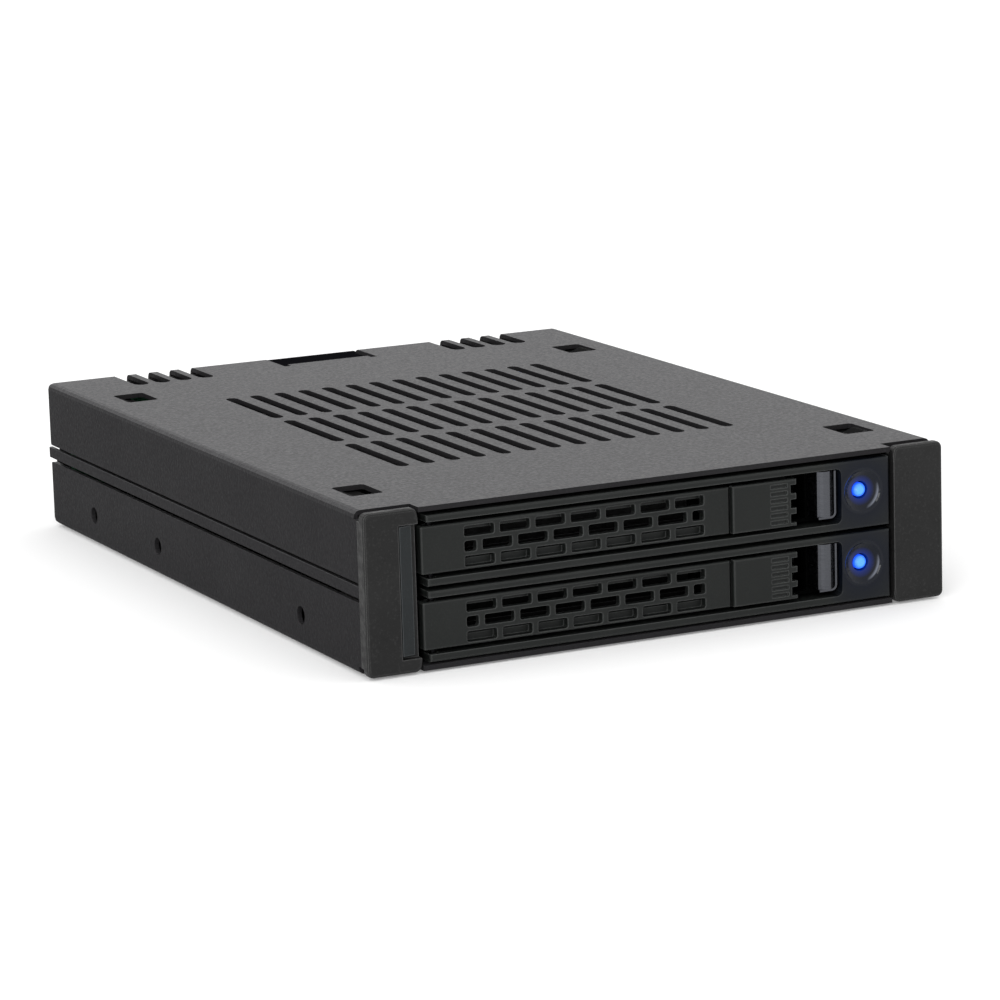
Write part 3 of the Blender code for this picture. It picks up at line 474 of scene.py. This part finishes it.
def block(bm, low, high, radius, segments=1):
    """Block between two corners with all its edges rounded."""
    verts = bmesh.ops.create_cube(bm, size=1.0)["verts"]
    for vert in verts:
        vert.co = Vector([low[i] + (vert.co[i] + 0.5) * (high[i] - low[i]) for i in range(3)])
    edges = list({edge for vert in verts for edge in vert.link_edges})
    bmesh.ops.bevel(bm, geom=edges, offset=radius, segments=segments, profile=0.5, affect="EDGES")


def lathe(bm, profile, centre, axis, segments=24):
    """Turn (radius, height) points about an axis through `centre`; the profile starts and ends on it."""
    across = [i for i in range(3) if i != axis]
    rings = []
    for radius, height in profile:
        ring = []
        for k in range(1 if radius == 0 else segments):
            angle = 2 * math.pi * k / segments
            point = [0.0, 0.0, 0.0]
            point[axis] = height
            point[across[0]] = centre[0] + radius * math.cos(angle)
            point[across[1]] = centre[1] + radius * math.sin(angle)
            ring.append(bm.verts.new(point))
        rings.append(ring)
    for ring, following in zip(rings, rings[1:]):
        for k in range(segments):
            corners = [ring[k % len(ring)], ring[(k + 1) % len(ring)],
                       following[(k + 1) % len(following)], following[k % len(following)]]
            bm.faces.new(list(dict.fromkeys(corners)))


def mm_box(node):
    low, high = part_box(node)
    return low / MM, high / MM


CONTACT_PITCH = 1.27
CONTACT_WIDTH = 0.55
CONTACT_EDGE = 0.05
CONTACT_FRONT, CONTACT_BACK = 0.9, 5.6      # from the front of the drive connector
SHELF_UP = 1.75
BELOW_SHELF, ABOVE_SHELF = 0.12, 0.14
CONTACT_ROWS = ((4.2, 16), (28.0, 8))       # a row's start from the connector's left end, and its contacts

PORT_PADS = (("data_port_left", 7, 1.27), ("data_port_right", 7, 1.27), ("power_port", 12, 1.35))
PAD_WIDTH = 0.6
PAD_FRONT, PAD_BACK = 5.6, 1.2              # from the mouth of the port
PAD_BOTTOM, PAD_TOP = 0.75, 0.5             # below the middle of the port


def add_drive_contacts(level):
    """Gold contacts along the shelf of a drive connector: the long power row, then the short data row."""
    low, _ = mm_box(f"drive_connector_{level}")
    shelf = low.z + SHELF_UP

    def contacts(bm):
        for start, count in CONTACT_ROWS:
            for k in range(count):
                x = low.x + start + k * CONTACT_PITCH
                block(bm, (x, low.y + CONTACT_FRONT, shelf - BELOW_SHELF),
                      (x + CONTACT_WIDTH, low.y + CONTACT_BACK, shelf + ABOVE_SHELF), CONTACT_EDGE)

    new_piece(f"drive_contacts_{level}", contacts, GOLD, "cage")


def add_port_contacts(name, count, pitch):
    """Gold contacts on the tongue of a port at the rear."""
    low, high = mm_box(name)
    first = (low.x + high.x) / 2 - (count - 1) * pitch / 2
    middle_height = (low.z + high.z) / 2

    def pads(bm):
        for k in range(count):
            x = first + k * pitch
            block(bm, (x - PAD_WIDTH / 2, high.y - PAD_FRONT, middle_height - PAD_BOTTOM),
                  (x + PAD_WIDTH / 2, high.y - PAD_BACK, middle_height - PAD_TOP), CONTACT_EDGE)

    new_piece(f"{name}_contacts", pads, GOLD, "cage")


BOARD_GAP = 0.02                            # between the board and what stands on it

# Each chip's middle across and up, then its width and height.
CHIPS = ((-33.0, 8.0, 5.0, 5.0), (-33.5, 18.5, 4.0, 4.0), (33.0, 20.5, 3.0, 3.0), (-12.0, 10.5, 4.0, 2.0))
CHIP_DEPTH = 1.0

PASSIVE_COUNT = 18
PASSIVE_SIZE = (1.6, 0.55, 0.8)
PASSIVE_START, PASSIVE_PITCH, PASSIVE_UP = -42.0, 5.0, 4.6

# Each capacitor's middle across and up.
CAPACITORS = ((-42.5, 13.0), (14.5, 9.0), (42.5, 12.0))
CAPACITOR_RADIUS = 2.0
CAPACITOR_DEPTH = 3.1
CAPACITOR_CHAMFER = 0.2

# Each choke's left, right and top.
CHOKES = ((-1.0, 11.5, 15.3), (20.5, 26.5, 14.3))
CHOKE_BOTTOM = 11.3
CHOKE_DEPTH = 3.5


def add_board_parts():
    """Chips, chokes, capacitors and an uneven row of resistors on the rear face of the backplane."""
    _, high = mm_box("backplane_board")
    face = high.y
    foot = face + BOARD_GAP

    def chips(bm):
        for x, z, width, height in CHIPS:
            block(bm, (x - width / 2, foot, z - height / 2),
                  (x + width / 2, face + CHIP_DEPTH, z + height / 2), 0.12)

    def passives(bm):
        width, depth, height = PASSIVE_SIZE
        for k in range(PASSIVE_COUNT):
            x = PASSIVE_START + PASSIVE_PITCH * k + 0.9 * math.sin(2.1 * k)
            z = PASSIVE_UP + 1.1 * math.cos(1.7 * k)
            block(bm, (x - width / 2, foot, z - height / 2),
                  (x + width / 2, face + depth, z + height / 2), 0.08)

    def cans(bm):
        top = face + CAPACITOR_DEPTH
        outline = [(0, foot), (CAPACITOR_RADIUS, foot), (CAPACITOR_RADIUS, top - CAPACITOR_CHAMFER),
                   (CAPACITOR_RADIUS - CAPACITOR_CHAMFER, top), (0, top)]
        for centre in CAPACITORS:
            lathe(bm, outline, centre, axis=1)

    def chokes(bm):
        for left, right, top in CHOKES:
            block(bm, (left, foot, CHOKE_BOTTOM), (right, face + CHOKE_DEPTH, top), 0.4, segments=2)

    new_piece("board_chips", chips, CONNECTOR, "cage", smooth=False)
    new_piece("board_chokes", chokes, CONNECTOR, "cage")
    new_piece("board_passives", passives, SCREW, "cage", smooth=False)
    new_piece("board_capacitors", cans, SCREW, "cage")


RECESS_REACH = 0.95
RECESS_HALF_WIDTH = 0.17
RECESS_SUNK, RECESS_PROUD = 0.05, 0.02


def add_screw_recess(number):
    """Cross recess of a board screw, drawn as a thin dark cross of painted shade on its head."""
    low, high = mm_box(f"board_screw_{number}")
    x, z = (low.x + high.x) / 2, (low.z + high.z) / 2

    def cross(bm):
        for across, up in ((RECESS_REACH, RECESS_HALF_WIDTH), (RECESS_HALF_WIDTH, RECESS_REACH)):
            block(bm, (x - across, high.y - RECESS_SUNK, z - up),
                  (x + across, high.y + RECESS_PROUD, z + up), 0.02)

    # The cross takes the dark black-oxide finish as painted shade for the hollow recess.
    new_piece(f"board_screw_recess_shade_{number}", cross, PIN, "cage", smooth=False)


# ---------------------------------------------------------------- studio

# The camera's place in metres, its turns in radians and its lens and sensor in millimetres.
CAMERA_PLACE = (-0.302918, -0.639051, 0.155280)
CAMERA_YAW = 0.45128899
CAMERA_PITCH = -0.20373891
CAMERA_ROLL = -0.02987751
CAMERA_LENS = 152.79
CAMERA_SENSOR = 36.0

SKY_STRENGTH = 1.2
FLOOR_RADIUS = 6.0
FLOOR_DROP = 0.0004
FLOOR_GLOW = 0.22


def make_camera():
    forward = Vector((math.sin(CAMERA_YAW) * math.cos(CAMERA_PITCH),
                      math.cos(CAMERA_YAW) * math.cos(CAMERA_PITCH), math.sin(CAMERA_PITCH)))
    level_right = Vector((math.cos(CAMERA_YAW), -math.sin(CAMERA_YAW), 0.0))
    level_up = level_right.cross(forward)
    right = math.cos(CAMERA_ROLL) * level_right + math.sin(CAMERA_ROLL) * level_up
    up = math.cos(CAMERA_ROLL) * level_up - math.sin(CAMERA_ROLL) * level_right
    data = bpy.data.cameras.new("camera")
    data.lens = CAMERA_LENS
    data.sensor_width = CAMERA_SENSOR
    data.clip_start = 0.01
    camera = bpy.data.objects.new("camera", data)
    matrix = Matrix((right, up, -forward)).transposed().to_4x4()
    matrix.translation = CAMERA_PLACE
    camera.matrix_world = matrix
    bpy.context.collection.objects.link(camera)
    bpy.context.scene.camera = camera


def make_sky():
    world = bpy.data.worlds.new("studio")
    bpy.context.scene.world = world
    world.use_nodes = True
    background = world.node_tree.nodes["Background"]
    background.inputs["Color"].default_value = (1.0, 1.0, 1.0, 1.0)
    background.inputs["Strength"].default_value = SKY_STRENGTH


def make_floor():
    """Pale round floor just under the rack."""
    bm = bmesh.new()
    bmesh.ops.create_circle(bm, cap_ends=True, radius=FLOOR_RADIUS, segments=64)
    for vert in bm.verts:
        vert.co.z = -FLOOR_DROP
    mesh = bpy.data.meshes.new("studio_floor")
    bm.to_mesh(mesh)
    bm.free()
    floor = bpy.data.objects.new("studio_floor", mesh)
    bpy.context.collection.objects.link(floor)
    graph = Graph("studio_floor")
    tone = graph.mixed(graph.noise(2.0), grey(0.79), grey(0.81))
    graph.glow(tone, FLOOR_GLOW)
    mesh.materials.append(graph.finish(tone, 0.9))


def area_light(name, place, target, size, energy):
    data = bpy.data.lights.new(name, "AREA")
    data.shape = "RECTANGLE"
    data.size, data.size_y = size
    data.energy = energy
    light = bpy.data.objects.new(name, data)
    light.location = place
    light.rotation_euler = (Vector(target) - Vector(place)).to_track_quat("-Z", "Y").to_euler()
    bpy.context.collection.objects.link(light)


paint_frame()
soften_frame()
for level in LEVELS:
    add_drive_contacts(level)
for name, count, pitch in PORT_PADS:
    add_port_contacts(name, count, pitch)
add_board_parts()
for number in range(1, 5):
    add_screw_recess(number)
make_camera()
make_sky()
make_floor()
area_light("front_left_box", place=(-0.66, -0.80, 0.34), target=(0.0, 0.0, 0.02),
           size=(0.36, 0.60), energy=5.0)
bpy.context.scene.view_settings.view_transform = "Standard"

bpy.context.view_layer.update()
